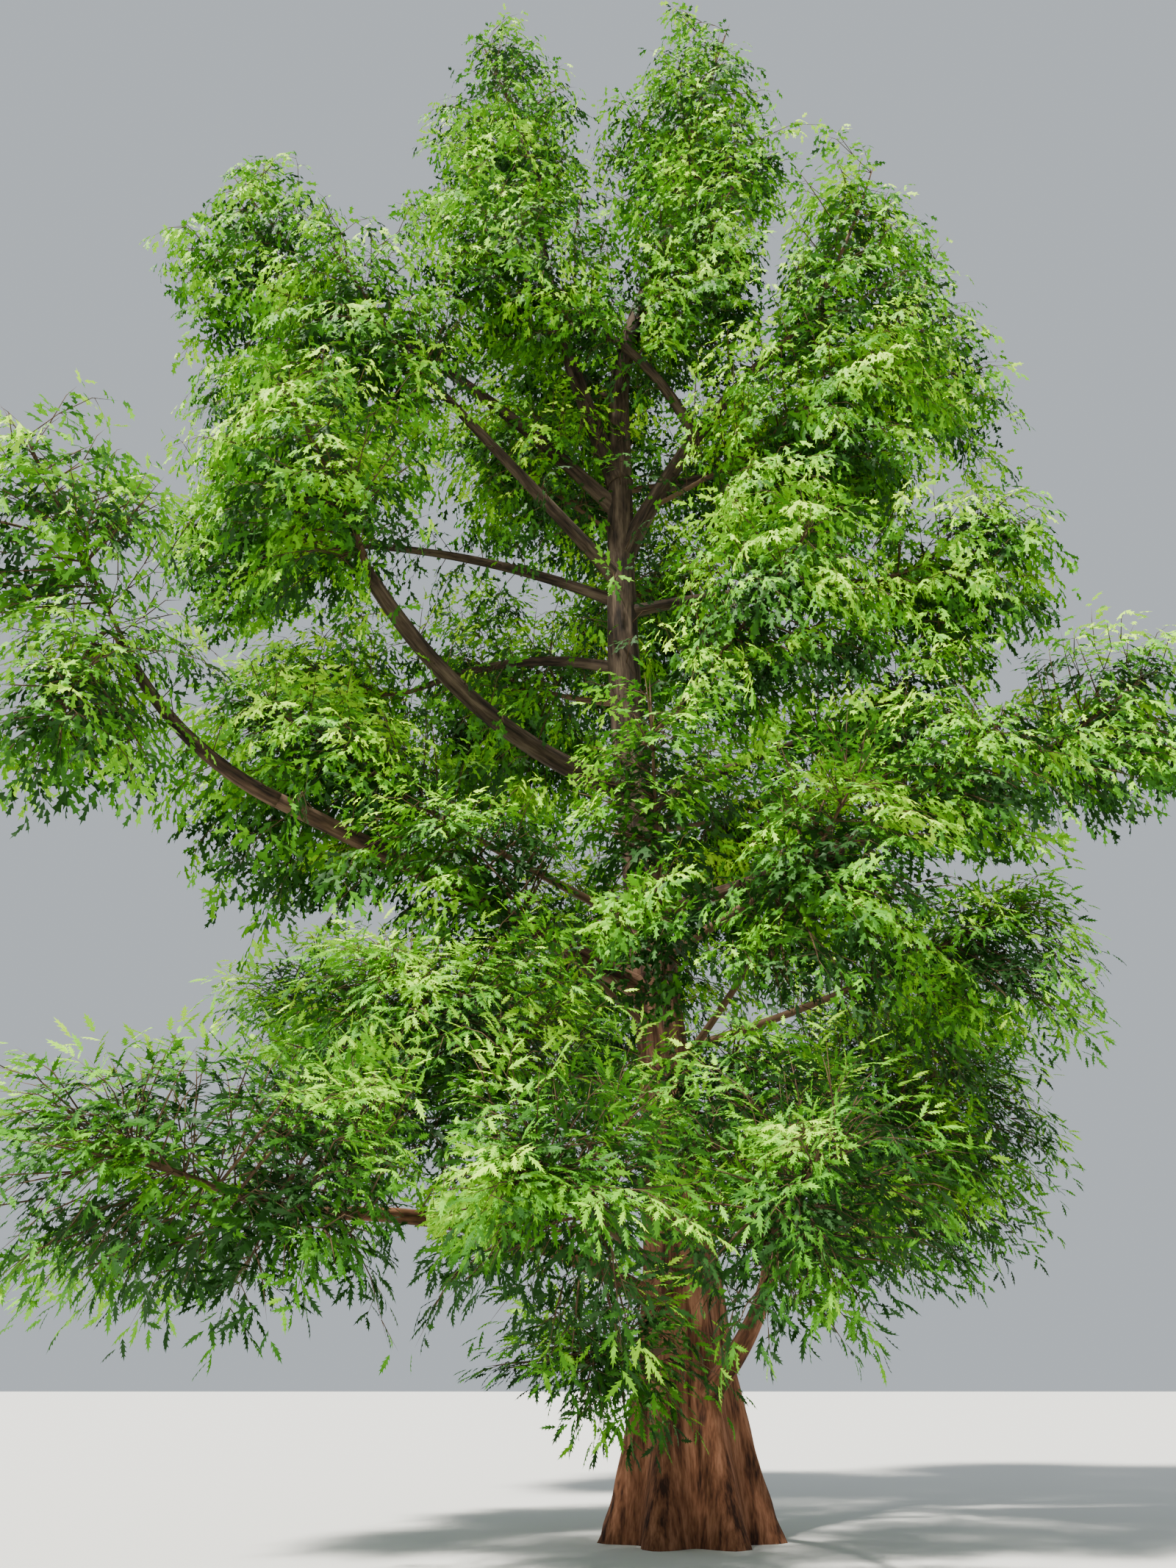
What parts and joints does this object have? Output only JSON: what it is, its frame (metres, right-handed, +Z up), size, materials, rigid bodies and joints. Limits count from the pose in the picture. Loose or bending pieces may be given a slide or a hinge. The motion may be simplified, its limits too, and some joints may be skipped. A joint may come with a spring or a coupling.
{
  "type": "dawn redwood tree",
  "caption": "Mature dawn redwood in leaf: fluted, flared trunk dividing into leaders, upswept boughs and masses of feathery foliage, skirted almost to the ground.",
  "frame": {"origin": "middle of the flat cut under the trunk, at ground level", "axes": "+Z up along the trunk, +X to the viewer's right and +Y away from the viewer"},
  "size_m": [16.2754, 13.4962, 29.7709],
  "materials": {
    "bark": "fibrous, furrowed bark",
    "foliage": "soft flat needles in feathery sprays"
  },
  "bodies": {
    "root": {"trunk": "bark", "leader_left": "bark", "leader_right": "bark", "bough_crossing": "bark", "bough_upper_left": "bark", "bough_crest": "bark", "bough_left_high": "bark", "bough_left_back": "bark", "bough_bent_lower": "bark", "bough_bent_upper": "bark", "bough_long_inner": "bark", "bough_long_outer": "bark", "bough_skirt": "bark", "bough_right_edge": "bark", "bough_right_middle": "bark", "bough_right_inner": "bark", "bough_right_far": "bark", "bough_right_low": "bark", "bough_foot": "bark", "foliage_top_left": "foliage", "foliage_top_right": "foliage", "foliage_top_middle": "foliage", "foliage_shoulder": "foliage", "foliage_upper_left": "foliage", "foliage_upper_back": "foliage", "foliage_crest": "foliage", "foliage_left_edge": "foliage", "foliage_left_dark": "foliage", "foliage_bend": "foliage", "foliage_far_left_top": "foliage", "foliage_far_left_hanging": "foliage", "foliage_left_low": "foliage", "foliage_left_bright": "foliage", "foliage_heart_left": "foliage", "foliage_left_under": "foliage", "foliage_skirt_upper": "foliage", "foliage_skirt_left": "foliage", "foliage_skirt_front": "foliage", "foliage_skirt_right": "foliage", "foliage_foot": "foliage", "foliage_plume": "foliage", "foliage_upper_right": "foliage", "foliage_right_edge": "foliage", "foliage_right_upper": "foliage", "foliage_right_middle": "foliage", "foliage_right_heart": "foliage", "foliage_right_inner": "foliage", "foliage_right_far": "foliage", "foliage_right_bough": "foliage", "foliage_right_front": "foliage", "foliage_right_low": "foliage", "foliage_right_low_back": "foliage", "foliage_skirt_middle": "foliage", "foliage_back_1": "foliage", "foliage_back_2": "foliage", "foliage_back_3": "foliage", "foliage_back_4": "foliage", "foliage_back_5": "foliage", "foliage_back_6": "foliage", "foliage_back_7": "foliage"}
  },
  "joints": []
}
